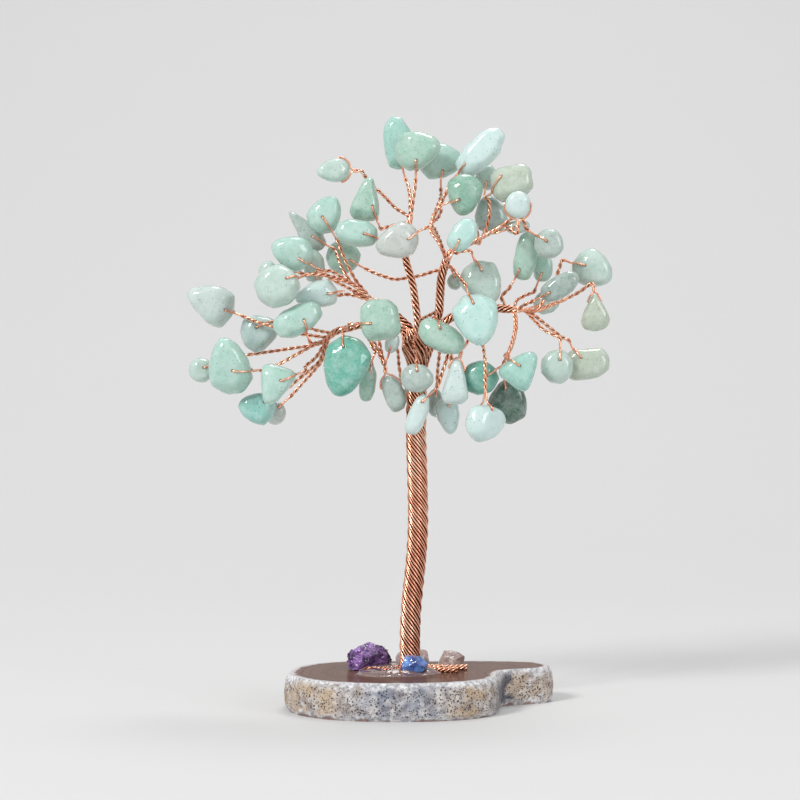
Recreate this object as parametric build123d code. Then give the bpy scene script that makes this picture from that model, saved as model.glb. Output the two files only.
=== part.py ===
from build123d import *
import os
from math import cos, pi, radians, sin

# Gemstone tree: drilled, tumbled stone chips threaded on loops of copper wire. Each wire's two
# legs are twisted into a twig, the twigs run together into branches, and the branches into a
# trunk that stands, glued, on a polished slab of agate.
# Millimetres. +X is to the right and +Y away from someone who looks at the front, +Z is up.
# The origin is on the underside of the slab, below the foot of the trunk.

# Driving sizes
tree_rise = 137.0
slab_length = 67.4
slab_depth = 45.6
slab_height = 9.0
wire_diameter = 0.5
bore_clearance = 0.1

# Places in the tree are pixels of one front view: x to the right, y down, and a depth away from
# the viewer, counted in pixels at the trunk.
foot_pixel = (410, 670)
middle_pixel = (400, 400)
rise_pixels = 552
view_pixels = 2097
pixel_size = tree_rise / rise_pixels

# Wire
strand_sides = 4
twig_sides = 5
branch_sides = 8
bore_sides = 6
twig_diameter = 2 * wire_diameter
double_twig_diameter = 2.3 * wire_diameter
branch_diameter = 4 * wire_diameter
thick_branch_diameter = 4.6 * wire_diameter
leg_offset = 0.53 * wire_diameter
leg_run = 1.5 * wire_diameter
loop_rise = 1.4 * wire_diameter
loop_reach = 3.6 * wire_diameter
loop_slack = 0.8 * wire_diameter
loop_station_shares = (0, 0.3, 0.55, 0.75, 0.9)
end_run = 2.4 * wire_diameter
crowd_reach = 5 * twig_diameter

# Trunk: a bundle of wires with a left-hand lay, and the fork where it spreads and divides
trunk_diameter = 5.2
trunk_strands = 11
trunk_groove = 0.3
trunk_lay = 21.5
trunk_pixels = ((410, 670, 0), (411, 610, 0), (416, 560, 0), (418, 500, 0), (416, 430, 0), (417, 366, 0))
rings_per_turn = 8
fork_rings = 3
fork_length = 8.6
fork_depth = 6.0
fork_pixel = (419, 338, 0)

# Slab: outline in shares of its length and depth from the foot of the trunk, and how far each
# level of the rounded rind stands in from the widest outline
slab_outline_shares = ((-0.460, -0.04), (-0.435, -0.28), (-0.320, -0.48), (-0.130, -0.58),
                       (0.060, -0.575), (0.215, -0.49), (0.315, -0.32), (0.335, -0.12),
                       (0.370, 0.020), (0.455, 0.070), (0.535, 0.160), (0.520, 0.330),
                       (0.400, 0.410), (0.180, 0.430), (-0.060, 0.440), (-0.290, 0.390),
                       (-0.420, 0.210))
slab_rim_points = 44
slab_level_shares = (0, 0.12, 0.45, 0.85, 1)
rind_roll = 1.3
rind_inset_shares = (0.9, 0.25, 0, 0.3, 1)

# Glue pool round the foot
glue_height = 1.1
glue_length = 22.0
glue_depth = 17.0
glue_outline_shares = ((-0.62, -0.30), (-0.56, -0.62), (-0.30, -0.78), (-0.02, -0.72), (0.22, -0.60),
                       (0.38, -0.30), (0.34, 0.02), (0.16, 0.24), (-0.12, 0.26), (-0.42, 0.10))
glue_top_share = 0.8
glue_rim_points = 24
embed_clearance = 0.02
foot_sides = 16

# Stones at the foot: outline name, length, depth and height, centre from the foot, and turn
foot_stones = {
    "amethyst_chip": ("wedge", 11.2, 8.0, 6.8, (-9.9, 1.6), 12),
    "sodalite_chip": ("block", 6.6, 5.0, 4.5, (1.0, -8.0), -14),
    "smoky_quartz_chip": ("egg", 6.8, 5.4, 4.6, (10.4, 2.9), 20),
    "rose_quartz_chip": ("block", 8.6, 5.6, 4.4, (0.6, 7.0), 8),
}

# Root ends of the trunk's wires, lying on the slab: diameter, and the points of each route from
# the foot in shares of the root's reach
root_diameter = 1.5
root_reach = 15.0
root_start = 1.6
root_route_shares = {
    "root_left": ((0, 0), (-0.30, -0.14), (-0.52, -0.30), (-0.74, -0.36)),
    "root_front_left": ((0, 0), (-0.18, -0.22), (-0.26, -0.44), (-0.42, -0.58)),
    "root_right_upper": ((0, 0), (0.34, 0.02), (0.52, -0.06), (0.94, -0.02)),
    "root_right_lower": ((0, 0), (0.26, -0.22), (0.50, -0.34), (0.78, -0.38)),
}

# Outlines of the tumbled chips, in shares of half the length and half the width, and the ring
# sizes from the back of a chip to its front
outline_shares = {
    "round": ((0.95, 0.35), (0.45, 0.95), (-0.35, 1), (-0.93, 0.48), (-1, -0.3), (-0.5, -0.93),
              (0.35, -1), (1, -0.42)),
    "egg": ((1, 0.14), (0.74, 0.56), (0.1, 0.94), (-0.55, 1), (-0.97, 0.38), (-1, -0.38),
            (-0.55, -1), (0.1, -0.94), (0.72, -0.56), (0.98, -0.2)),
    "pear": ((1, 0.2), (0.7, 0.5), (0.2, 0.68), (-0.3, 0.94), (-0.85, 0.8), (-1, -0.1),
             (-0.7, -0.9), (-0.1, -1), (0.5, -0.66), (0.95, -0.25)),
    "wedge": ((1, 0.22), (0.7, 0.5), (0.05, 0.76), (-0.7, 1), (-1, 0.7), (-0.98, -0.6),
              (-0.7, -1), (0.05, -0.76), (0.97, -0.22)),
    "block": ((1, 0.45), (0.7, 0.95), (-0.5, 1), (-0.95, 0.65), (-1, -0.5), (-0.65, -1),
              (0.5, -0.95), (0.96, -0.5)),
    "drop": ((1, 0.16), (0.6, 0.42), (0.05, 0.75), (-0.5, 1), (-0.9, 0.7), (-1, -0.05),
             (-0.86, -0.72), (-0.45, -1), (0.1, -0.74), (0.97, -0.18)),
    "long": ((1, 0.3), (0.75, 0.8), (0.25, 1), (-0.4, 0.98), (-0.86, 0.72), (-1, 0.1),
             (-0.9, -0.6), (-0.4, -1), (0.4, -0.95), (0.95, -0.4)),
}
ring_level_shares = (-1, -0.58, 0, 0.55, 1)
ring_size_shares = (0.58, 0.89, 1, 0.9, 0.62)
ring_shift_share = 0.05

# Branches: diameter, start and route
branch_routes = {
    "branch_left": (branch_diameter, ((407, 341, 0), (405, 331, 0), (394, 326, 0), (360, 325, 0),
                                      (347, 329, 0), (336, 331, 1), (326, 340, 2))),
    "branch_upper_left": (branch_diameter, ((413, 341, 8), (411, 328, 9), (385, 305, 10),
                                            (366, 298, 8))),
    "branch_top": (branch_diameter, ((417, 341, -7), (418, 322, -5), (413, 285, -2), (405, 258, 2),
                                     (408, 226, 2), (411, 217, 2))),
    "branch_upper_right": (thick_branch_diameter, ((423, 341, 6), (424, 331, 7), (439, 316, 8),
                                                   (441, 278, 6), (447, 258, 4), (452, 250, 4))),
    "branch_right": (thick_branch_diameter, ((430, 341, -1), (433, 330, 0), (455, 315, 4),
                                             (491, 308, 6), (521, 310, 4))),
}

# Limbs that carry several twigs: node, parent, share along the parent, diameter and route
limb_routes = {
    "limb_low_right": ("branch_right", 0.94, double_twig_diameter, ((516, 328, 3), (512, 345, 2),
                                                                    (507, 356, 2))),
    "limb_far_right": ("branch_right", 1, double_twig_diameter, ((538, 311, 6), (553, 304, 12),
                                                                 (566, 299, 14))),
    "limb_up_right": ("branch_upper_right", 0.97, double_twig_diameter, ((470, 244, 2), (490, 233, -4),
                                                                         (505, 224, -8))),
    "limb_up_middle": ("branch_upper_right", 0.9, double_twig_diameter, ((438, 240, 8), (430, 231, 10),
                                                                         (434, 214, 12))),
}

# Twigs, each with its chip. A row holds the parent and the share along it where the twig leaves,
# the route, then the chip's outline, centre, size (length, width, thickness), lean in degrees,
# the bore, the way the bore runs, its turn about the loop, and the point the twig ends near.
through = "through"
across = "across"
sprays = {
    "left_low": (
        ("branch_left", 0.97, ((300, 334, 2), (274, 327, -4), (254, 321, 0)),
         "pear", (211, 303, 8), (50, 42, 26), 150, (227, 309), through, 10, (240, 315)),
        ("branch_left", 0.90, ((314, 330, 14), (290, 318, 17)),
         "egg", (260, 332, 19), (40, 38, 24), 20, (258, 330), through, -10, (274, 322)),
        ("branch_left", 1, ((310, 347, 2), (292, 357, -4), (278, 365, -10)),
         "egg", (229, 366, -12), (59, 43, 28), 100, (234, 368), through, 12, (256, 370)),
        ("branch_left", 0.93, ((318, 345, 12), (295, 348, 18), (262, 353, 25), (240, 356, 26)),
         "round", (201, 370, 24), (26, 26, 20), 0, (205, 368), through, 0, (219, 361)),
        ("branch_left", 0.96, ((316, 358, -4), (304, 367, -14)),
         "wedge", (274, 385, -22), (40, 36, 24), 250, (281, 379), through, 8, (297, 374)),
        ("branch_left", 0.98, ((320, 362, 10), (300, 378, 12)),
         "egg", (257, 408, 6), (37, 32, 22), 170, (265, 402), through, 0, (282, 392)),
        ("branch_left", 0.95, ((322, 362, 20), (302, 384, 26)),
         "round", (276, 413, 30), (25, 20, 16), 80, (279, 408), through, 0, (289, 398)),
        ("branch_left", 0.88, ((324, 343, -14), (316, 343, -24)),
         "long", (298, 320, -32), (52, 29, 24), 26, (303, 321), through, -8, (309, 339)),
    ),
    "left_up": (
        ("branch_upper_left", 0.90, ((355, 280, 6), (342, 253, 4)),
         "egg", (326, 214, 4), (40, 33, 24), 60, (323, 218), through, 0, (335, 237)),
        ("branch_upper_left", 1, ((350, 282, 11), (339, 262, 13)),
         "drop", (306, 231, 23), (50, 24, 18), 130, (313, 237), through, 0, (327, 245)),
        ("branch_upper_left", 0.95, ((344, 286, -8), (328, 277, -14)),
         "egg", (292, 252, -16), (42, 34, 24), 160, (301, 258), through, 10, (316, 268)),
        ("branch_upper_left", 0.98, ((346, 294, 22), (327, 298, 18)),
         "long", (314, 266, 16), (34, 22, 18), 95, (317, 276), through, 0, (320, 288)),
        ("branch_upper_left", 0.86, ((352, 284, -12), (330, 276, -30)),
         "round", (277, 286, -40), (44, 42, 28), 20, (288, 281), through, -8, (303, 276)),
        ("branch_upper_left", 0.92, ((350, 277, 16), (330, 270, 8), (306, 275, -1)),
         "round", (268, 271, -10), (20, 20, 14), 0, (272, 271), through, 0, (283, 270)),
        ("branch_upper_left", 0.99, ((357, 296, -2),),
         "pear", (316, 295, -8), (44, 30, 22), 190, (328, 293), through, 8, (345, 291)),
    ),
    "middle_left": (
        ("branch_top", 0.97, ((392, 226, 4), (384, 228, -2)),
         "wedge", (367, 199, -4), (43, 31, 22), 80, (374, 207), through, 8, (379, 224)),
        ("branch_top", 0.93, ((398, 246, -10), (390, 240, -16)),
         "long", (357, 233, -20), (43, 27, 20), 170, (364, 236), through, -8, (383, 241)),
        ("branch_upper_right", 0.80, ((420, 276, 14), (395, 280, 26), (376, 274, 34)),
         "round", (343, 257, 37), (34, 34, 22), 30, (350, 261), through, 0, (364, 268)),
        ("branch_upper_right", 0.88, ((440, 240, -14), (434, 227, -34)),
         "egg", (397, 242, -40), (43, 36, 26), 200, (407, 238), through, 10, (422, 230)),
    ),
    "middle": (
        ("branch_left", 0.66, ((353, 326, -18), (351, 325, -34)),
         "block", (380, 320, -42), (42, 39, 26), 95, (371, 324), through, 0, (358, 324)),
        ("branch_left", 0.42, ((381, 352, -6), (384, 364, -13)),
         "long", (392, 343, -16), (22, 14, 13), 75, (391, 347), through, 0, (387, 358)),
        ("branch_left", 0.86, ((339, 322, -8), (339, 319, -20)),
         "egg", (345, 367, -27), (60, 46, 26), 255, (345, 347), through, -6, (342, 330)),
        ("branch_left", 0.60, ((370, 340, 4), (373, 350, 4)),
         "long", (368, 381, 2), (42, 18, 17), 85, (371, 372), through, 0, (374, 357)),
        ("branch_left", 0.22, ((403, 353, -17), (410, 350, -30)),
         "round", (417, 378, -31), (33, 29, 22), 0, (417, 371), through, 0, (416, 357)),
        ("branch_left", 0.30, ((398, 350, 14), (399, 366, 25)),
         "round", (402, 396, 28), (18, 18, 15), 0, (402, 393), through, 0, (401, 381)),
    ),
    "top": (
        ("branch_top", 0.98, ((410, 196, 14), (408, 185, 24)),
         "long", (398, 143, 28), (54, 30, 22), 95, (401, 161), through, 0, (405, 177)),
        ("branch_top", 1, ((413, 200, 1), (415, 188, 0)),
         "egg", (418, 150, 0), (47, 40, 24), 10, (418, 162), through, 10, (416, 177)),
        ("limb_up_middle", 1, ((440, 200, 22), (441, 194, 30)),
         "egg", (441, 161, 34), (46, 38, 24), 0, (442, 172), through, 0, (441, 187)),
        ("limb_up_middle", 0.93, ((444, 198, 10),),
         "long", (481, 152, 8), (60, 31, 24), 46, (465, 166), through, 8, (454, 178)),
        ("limb_up_middle", 0.82, ((438, 219, -8), (442, 209, -15)),
         "egg", (464, 195, -14), (42, 36, 24), 265, (458, 199), through, -10, (445, 204)),
    ),
    "upper_right": (
        ("branch_upper_right", 0.95, ((448, 262, -18), (448, 262, -32)),
         "long", (463, 235, -38), (36, 25, 20), 52, (459, 241), through, 0, (453, 252)),
        ("limb_up_right", 0.50, ((476, 228, 28), (481, 209, 34)),
         "round", (487, 178, 32), (26, 24, 18), 90, (486, 183), through, 0, (484, 197)),
        ("limb_up_right", 0.62, ((490, 213, -11), (489, 200, -9)),
         "block", (512, 183, -7), (42, 36, 24), 10, (502, 178), through, 10, (492, 190)),
        ("limb_up_right", 0.40, ((478, 243, 10),),
         "egg", (490, 215, 14), (40, 33, 22), 100, (487, 225), through, 0, (481, 239)),
        ("limb_up_right", 0.78, (),
         "long", (518, 227, -5), (24, 14, 12), 5, (514, 228), through, 0, (503, 231)),
        ("limb_up_right", 1, ((516, 215, -14), (524, 220, -19)),
         "round", (549, 244, -17), (30, 30, 20), 0, (546, 242), through, 0, (532, 233)),
    ),
    "middle_right": (
        ("branch_upper_right", 0.30, ((436, 312, -8), (434, 308, -22)),
         "long", (441, 337, -31), (50, 29, 21), 330, (440, 329), through, 0, (437, 314)),
        ("branch_upper_right", 0.84, ((452, 268, -20), (462, 281, -40)),
         "egg", (477, 320, -46), (52, 45, 28), 280, (473, 304), through, 0, (467, 289)),
        ("branch_upper_right", 0.91, ((462, 251, 0),),
         "egg", (483, 283, 0), (46, 41, 24), 300, (480, 272), through, 8, (473, 256)),
        ("branch_upper_right", 0.70, ((450, 258, 14),),
         "round", (455, 281, 18), (18, 16, 13), 80, (454, 278), through, 0, (451, 267)),
    ),
    "right": (
        ("branch_right", 0.88, ((500, 297, 8),),
         "long", (526, 256, 5), (50, 24, 18), 80, (519, 270), through, 0, (511, 285)),
        ("branch_right", 0.93, ((516, 300, 20), (528, 294, 26)),
         "long", (543, 268, 28), (30, 20, 15), 85, (541, 274), through, 0, (536, 287)),
        ("branch_right", 0.97, ((524, 305, -6),),
         "long", (560, 287, -11), (42, 23, 18), 30, (549, 293), through, 0, (535, 300)),
        ("branch_right", 0.99, ((513, 318, 21),),
         "round", (546, 303, 31), (26, 24, 16), 10, (542, 304), through, 0, (528, 309)),
        ("limb_far_right", 0.30, ((553, 287, 18), (560, 266, 22)),
         "egg", (593, 270, 22), (42, 39, 24), 330, (584, 266), through, 0, (570, 262)),
        ("limb_far_right", 0.08, ((543, 330, 4),),
         "round", (557, 367, 0), (35, 33, 22), 90, (559, 360), through, 0, (560, 344)),
        ("limb_far_right", 0.16, ((550, 328, 18), (564, 339, 26)),
         "block", (586, 364, 28), (48, 32, 22), 5, (580, 358), through, 0, (571, 344)),
    ),
    "right_low": (
        ("limb_low_right", 0.90, ((508, 361, -6),),
         "round", (480, 378, -12), (36, 33, 22), 20, (486, 374), through, 8, (500, 367)),
        ("limb_low_right", 0.98, ((504, 362, 8),),
         "egg", (508, 401, 14), (45, 41, 24), 80, (505, 389), through, 0, (503, 372)),
        ("limb_low_right", 1, ((501, 353, -12), (500, 352, -24)),
         "wedge", (522, 369, -30), (40, 37, 22), 50, (519, 366), through, 0, (507, 357)),
    ),
    "low": (
        ("branch_right", 0.16, ((449, 352, -8), (443, 370, -20)),
         "long", (418, 415, -27), (43, 19, 16), 68, (422, 402), through, 0, (434, 391)),
        ("branch_right", 0.24, ((452, 350, 6), (450, 372, 3)),
         "egg", (448, 416, 2), (37, 25, 17), 280, (449, 406), through, 0, (451, 391)),
        ("branch_right", 0.20, ((440, 350, 12), (438, 368, 22)),
         "long", (436, 403, 26), (30, 17, 14), 90, (436, 396), through, 0, (437, 382)),
    ),
}

# Chips that hang or stand slack on their loops and can swing: one twig each
loose_chips = {
    "swinging_chip_top_left": (
        "branch_top", 0.99, ((396, 209, 12), (381, 193, 16), (369, 183, 13)),
        "egg", (333, 171, 0), (34, 24, 18), 185, (340, 173), across, 0, (356, 171)),
    "swinging_chip_middle": (
        "branch_left", 0.54, ((376, 345, -5), (382, 362, -8)),
        "long", (394, 394, -10), (38, 21, 15), 108, (391, 386), across, 0, (386, 372)),
    "swinging_chip_upper_right": (
        "limb_up_right", 0.96, ((509, 229, -20), (517, 235, -29)),
        "round", (518, 205, -31), (27, 26, 18), 90, (518, 203), across, 0, (518, 223)),
    "swinging_chip_low_middle": (
        "branch_right", 0.42, ((470, 330, -8), (467, 344, -22)),
        "wedge", (456, 382, -26), (44, 27, 18), 85, (458, 370), across, 0, (461, 353)),
    "swinging_chip_low_right": (
        "branch_right", 0.66, ((482, 341, -16), (485, 358, -29)),
        "egg", (486, 422, -31), (45, 37, 22), 10, (485, 410), through, 40, (485, 392)),
    "swinging_chip_far_right": (
        "limb_far_right", 1, ((580, 292, 12), (590, 284, 8)),
        "drop", (595, 313, 4), (37, 29, 18), 92, (595, 302), across, 0, (594, 288)),
}


def place(pixel):
    """Point of the tree at a pixel of the front view and a depth, all in pixels."""
    x, y, depth = pixel
    scale = pixel_size * (1 + depth / view_pixels)
    side = (x - middle_pixel[0]) * scale - (foot_pixel[0] - middle_pixel[0]) * pixel_size
    rise = (foot_pixel[1] - middle_pixel[1]) * pixel_size - (y - middle_pixel[1]) * scale
    return Vector(side, depth * pixel_size, slab_height + rise)


def wire_bar(points, diameter, sides):
    """Bar of a few flat sides along straight runs, with mitred bends."""
    path = Polyline(*points)
    section = Plane(origin=path @ 0, z_dir=path % 0) * RegularPolygon(diameter / 2, sides)
    return sweep(section, path=path, transition=Transition.RIGHT)


def chip(frame, outline, length, width, thickness):
    """Tumbled chip: the hull of rings of one outline, smaller towards its two faces."""
    corners = []
    for level, size in zip(ring_level_shares, ring_size_shares):
        ring = frame.offset(level * thickness / 2)
        shift = ring_shift_share * level * length
        for along, side in outline_shares[outline]:
            point = (size * along * length / 2 + shift, size * side * width / 2, 0)
            corners.append(ring.from_local_coords(Vector(*point)))
    return ConvexPolyhedron(corners).solid()


def span(solid, point, direction):
    """How far the solid reaches from a point inside it along a direction."""
    reach = solid.bounding_box().diagonal
    inside = Edge.make_line(point, point + direction * reach) & solid
    ends = [vertex.center() for vertex in inside.vertices()]
    return max((end - point).dot(direction) for end in ends)


def pulled_tight(points):
    """The points of a row that a wire touches when it is pulled tight over them."""
    kept = []
    for point in points:
        while len(kept) > 1:
            (start, low), (middle, high) = kept[-2], kept[-1]
            if (middle - start) * (point[1] - low) < (point[0] - start) * (high - low):
                break
            kept.pop()
        kept.append(point)
    return kept


def loop_points(body, bore, toward, bore_way, reach):
    """Route of one wire from the twig's end round the chip's edge, through the bore and back."""
    edge = span(body, bore, toward)
    route = []
    for way in (1, -1):
        out = bore_way * way
        heights = []
        for share in loop_station_shares:
            heights.append((edge * share, span(body, bore + toward * edge * share, out) + loop_rise))
        heights.append((edge + loop_slack, heights[-1][1]))
        leg = pulled_tight(heights + [(reach - leg_run, leg_offset)]) + [(reach, leg_offset)]
        points = [bore + toward * far + out * height for far, height in leg]
        route += points[::-1] if way == 1 else points
    return route


def bead(spec):
    """Drilled chip, its wire loop, and the end point and direction of its twig."""
    outline, centre, size, lean, bore, way, turn, end = spec
    depth = centre[2]
    middle = place(centre)
    hole = place((*bore, depth))
    toward = (place((*end, depth)) - hole).normalized()
    viewer = Vector(0, -1, 0).rotate(Axis((0, 0, 0), toward), turn)
    side = viewer.cross(toward)
    flat_side = Vector(0, -1, 0).cross(toward)
    lean_way = Vector(cos(radians(lean)), 0, sin(radians(lean)))
    long_way = toward * lean_way.dot(toward) + side * lean_way.dot(flat_side)
    frame = Plane(origin=middle, x_dir=long_way, z_dir=viewer)
    body = chip(frame, outline, *(pixels * pixel_size for pixels in size))
    offset = hole - middle
    centre_bore = middle + toward * offset.dot(toward) + side * offset.dot(flat_side)
    bore_way = viewer if way == through else side
    reach = max((place((*end, depth)) - hole).length, span(body, centre_bore, toward) + loop_reach)
    route = loop_points(body, centre_bore, toward, bore_way, reach)
    loop = wire_bar(route, wire_diameter, strand_sides)
    length = 2 * body.bounding_box().diagonal
    drill = Plane(origin=centre_bore - bore_way * length / 2, z_dir=bore_way)
    bore_radius = wire_diameter / 2 + bore_clearance
    hole_bar = extrude(drill * RegularPolygon(bore_radius, bore_sides, major_radius=False), length)
    return (body - hole_bar).solid(), loop, centre_bore + toward * reach, toward, bore_way, centre_bore


def along(route, share):
    """Point at a share of the length of a route of straight runs."""
    return Polyline(*route) @ share


def trimmed(bar, others):
    """A wire bar without what lies inside the bars that it leaves, as one solid."""
    for other in others:
        bar = bar - other
    return max(bar.solids(), key=lambda solid: solid.volume)


def faceted(rings):
    """Solid with flat facets from each ring of points to the next, and a flat face at each end."""
    facets = [Face(Wire.make_polygon(ring)) for ring in (rings[0], rings[-1])]
    for lower, upper in zip(rings, rings[1:]):
        for number, corner in enumerate(lower):
            following = (number + 1) % len(lower)
            facets.append(Face(Wire.make_polygon([corner, lower[following], upper[following]])))
            facets.append(Face(Wire.make_polygon([corner, upper[following], upper[number]])))
    return Solid(Shell(facets))


def rim(shares, length, depth, count):
    """Points, evenly spaced, of a closed smooth outline given in shares of a length and a depth."""
    outline = Spline(*((along_share * length, deep_share * depth) for along_share, deep_share in shares),
                     periodic=True)
    return [outline @ (number / count) for number in range(count)]


def bundle_ring(middle, across, deep, turn):
    """Level section of the bundled wires: a ridge for each strand and a groove beside it."""
    corners = []
    for number in range(2 * trunk_strands):
        groove = trunk_groove * (number % 2)
        angle = pi * number / trunk_strands - turn
        corner = Vector((across / 2 - groove) * cos(angle), (deep / 2 - groove) * sin(angle), 0)
        corners.append(middle + corner)
    return corners


trunk_path = Spline(*(place(pixel) for pixel in trunk_pixels), tangents=((0, 0, 1), (0, 0, 1)))
trunk_turn = 2 * pi * trunk_path.length / trunk_lay


def trunk_solid():
    """Bundle of strands that wind about the trunk's line with its lay."""
    count = round(rings_per_turn * trunk_path.length / trunk_lay)
    rings = []
    for number in range(count + 1):
        share = number / count
        rings.append(bundle_ring(trunk_path @ share, trunk_diameter, trunk_diameter, trunk_turn * share))
    return faceted(rings)


def fork_solid():
    """Head of the trunk: from the bundle's round top to a long oval that the branches leave."""
    foot = trunk_path @ 1
    rise = place(fork_pixel) - foot
    rings = []
    for number in range(fork_rings + 1):
        share = number / fork_rings
        across = trunk_diameter + (fork_length - trunk_diameter) * share
        deep = trunk_diameter + (fork_depth - trunk_diameter) * share
        rings.append(bundle_ring(foot + rise * share, across, deep, trunk_turn))
    return faceted(rings)


def slab_solid():
    """Slab with a sawn, flat top and underside and a rounded rind."""
    rings = []
    for level, inset in zip(slab_level_shares, rind_inset_shares):
        up = Vector(0, 0, level * slab_height)
        rings.append([point - point.normalized() * inset * rind_roll + up for point
                      in rim(slab_outline_shares, slab_length, slab_depth, slab_rim_points)])
    return faceted(rings)


def stone_solid(spec):
    """Rough chip lying on the slab."""
    outline, length, depth, height, centre, turn = spec
    base = Plane(origin=(*centre, slab_height + height / 2)).rotated((0, 0, turn))
    return chip(base, outline, length, depth, height)


def root_solid(shares):
    """Twisted wire end that lies on the slab, from the trunk's foot outwards."""
    height = slab_height + root_diameter / 2
    first = Vector(*shares[1], 0).normalized() * root_start
    points = [(first.X, first.Y, height)]
    points += [(x * root_reach, y * root_reach, height) for x, y in shares[1:]]
    return wire_bar(points, root_diameter, branch_sides)


def glue_solid(cutters):
    """Low pool of glue on the slab, moulded round the stones and the wires that it holds."""
    rings = []
    for level, size in ((0, 1), (glue_height, glue_top_share)):
        up = Vector(0, 0, slab_height + level)
        rings.append([point + up for point in rim(glue_outline_shares, glue_length * size,
                                                  glue_depth * size, glue_rim_points)])
    pool = faceted(rings)
    for cutter in cutters:
        pool = pool - cutter
    return max(pool.solids(), key=lambda solid: solid.volume)


os.makedirs("parts", exist_ok=True)
nodes = {}

# Slab, trunk and fork
nodes["agate_slab"] = [slab_solid()]
nodes["trunk_bundle"] = [trunk_solid()]
fork = fork_solid()
nodes["trunk_fork"] = [fork]
foot_core = Pos(0, 0, slab_height) * extrude(
    RegularPolygon(trunk_diameter / 2 + embed_clearance, foot_sides, major_radius=False), trunk_lay)

# Foot
for name, spec in foot_stones.items():
    nodes[name] = [stone_solid(spec)]
roots = [trimmed(root_solid(shares), [foot_core]) for shares in root_route_shares.values()]
for number, name in enumerate(root_route_shares):
    nodes[name] = [trimmed(roots[number], roots[:number])]
embedded = [foot_core] + [nodes[name][0] for name in (*foot_stones, *root_route_shares)]
nodes["glue_pool"] = [glue_solid(embedded)]

# Branches and limbs
bars = {}
paths = {}
for name, (diameter, route) in branch_routes.items():
    paths[name] = [place(pixel) for pixel in route]
    bars[name] = trimmed(wire_bar(paths[name], diameter, branch_sides), [fork])
    nodes[name] = [bars[name]]
for name, (parent, share, diameter, route) in limb_routes.items():
    paths[name] = [along(paths[parent], share)] + [place(pixel) for pixel in route]
    bars[name] = trimmed(wire_bar(paths[name], diameter, twig_sides), [bars[parent]])
    nodes[name] = [bars[name]]

# Twigs, loops and chips
rows = [(spray, row) for spray, listed in sprays.items() for row in listed]
rows += [(name, (*row,)) for name, row in loose_chips.items()]
shafts = []
for name, row in rows:
    parent, share, route = row[:3]
    body, loop, end, toward, bore_way, bore = bead(row[3:])
    start = along(paths[parent], share)
    points = [start] + [place(pixel) for pixel in route] + [end + toward * end_run, end]
    crowd = [other for other, base in shafts if (base - start).length < crowd_reach]
    shaft = trimmed(wire_bar(points, twig_diameter, twig_sides), [bars[parent]] + crowd)
    shafts.append((shaft, start))
    wires = name + "_wires" if name in sprays else "swinging_chip_wires"
    nodes.setdefault(wires, []).extend([shaft, loop])
    nodes.setdefault(name + "_chips" if name in sprays else name, []).append(body)
    if name in loose_chips:
        print(name, "bore at", [round(value / 1000, 6) for value in bore],
              "along", [round(value, 5) for value in bore_way])

for name, solids in nodes.items():
    export_step(Compound(children=solids) if len(solids) > 1 else solids[0], f"parts/{name}.step")
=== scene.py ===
import math

import bmesh
import bpy
import numpy as np
from mathutils import Matrix, Vector, noise
from mathutils.bvhtree import BVHTree


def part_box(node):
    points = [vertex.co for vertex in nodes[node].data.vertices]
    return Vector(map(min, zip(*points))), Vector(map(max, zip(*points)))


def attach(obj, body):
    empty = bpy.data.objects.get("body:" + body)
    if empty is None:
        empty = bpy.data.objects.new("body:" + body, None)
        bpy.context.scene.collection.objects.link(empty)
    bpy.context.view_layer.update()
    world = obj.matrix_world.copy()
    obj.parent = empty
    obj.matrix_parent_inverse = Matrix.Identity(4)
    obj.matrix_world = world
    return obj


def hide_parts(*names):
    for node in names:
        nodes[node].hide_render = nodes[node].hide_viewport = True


# Gemstone tree: tumbled stone chips on loops of copper wire, whose legs are twisted into twigs,
# branches and a trunk that stands on a slab of agate. Metres, in the frame of the CAD model.

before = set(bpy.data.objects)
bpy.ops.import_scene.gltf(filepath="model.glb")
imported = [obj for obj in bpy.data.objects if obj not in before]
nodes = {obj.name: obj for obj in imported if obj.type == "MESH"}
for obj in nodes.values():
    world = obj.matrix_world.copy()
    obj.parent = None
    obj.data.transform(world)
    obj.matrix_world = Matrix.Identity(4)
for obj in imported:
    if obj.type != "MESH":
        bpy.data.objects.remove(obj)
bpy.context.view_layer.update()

mm = 0.001
full_turn = 2 * math.pi

# Reading the CAD nodes
merge_step = 0.001 * mm
level_play = 0.01 * mm
flat_cosine = 0.99999

# Wire
wire_diameter = 0.5 * mm
pair_radius = 0.5 * wire_diameter
pair_lay = 3.6 * mm
wire_step = 0.28 * mm
loop_step = 0.3 * mm
wire_sides = 7
loop_bar_sides = 4
twig_bar_sides = 5
branch_bar_sides = 8
least_run = 0.02 * mm
bend_cut = 1.4 * mm
bend_share = 0.45
bend_points = 7
# Painted shade between the two wires of a twisted pair: full at the first share of a wire diameter
# beyond the lay, gone at the second
pair_painted_shade_range = (-0.12, 0.1)

# Loops on the stones
hug_leeway = 0.1 * mm
clear_leeway = 0.15 * mm
loop_rest = wire_diameter / 2 + 0.03 * mm
bore_share = (0.1, 0.9)
hug_reach = 2.4 * mm
hug_fade = 1.2 * mm
hug_passes = 3
clear_reach = 3 * mm
clear_passes = 2
clear_rounds = 3
swing_room = math.radians(22)
swing_steps = 9

# Chips
chip_voxel = 0.36 * mm
chip_passes = 50
slender_passes = 20
slender_share = 0.64
dimple_depth = 0.3 * mm
dimple_scale = 3.6 * mm
dimple_share = 0.2
dimple_shift = (0.13, 0.29, 0.41)
wear = 0.5
bore_diameter = 0.7 * mm
bore_sides = 12

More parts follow.
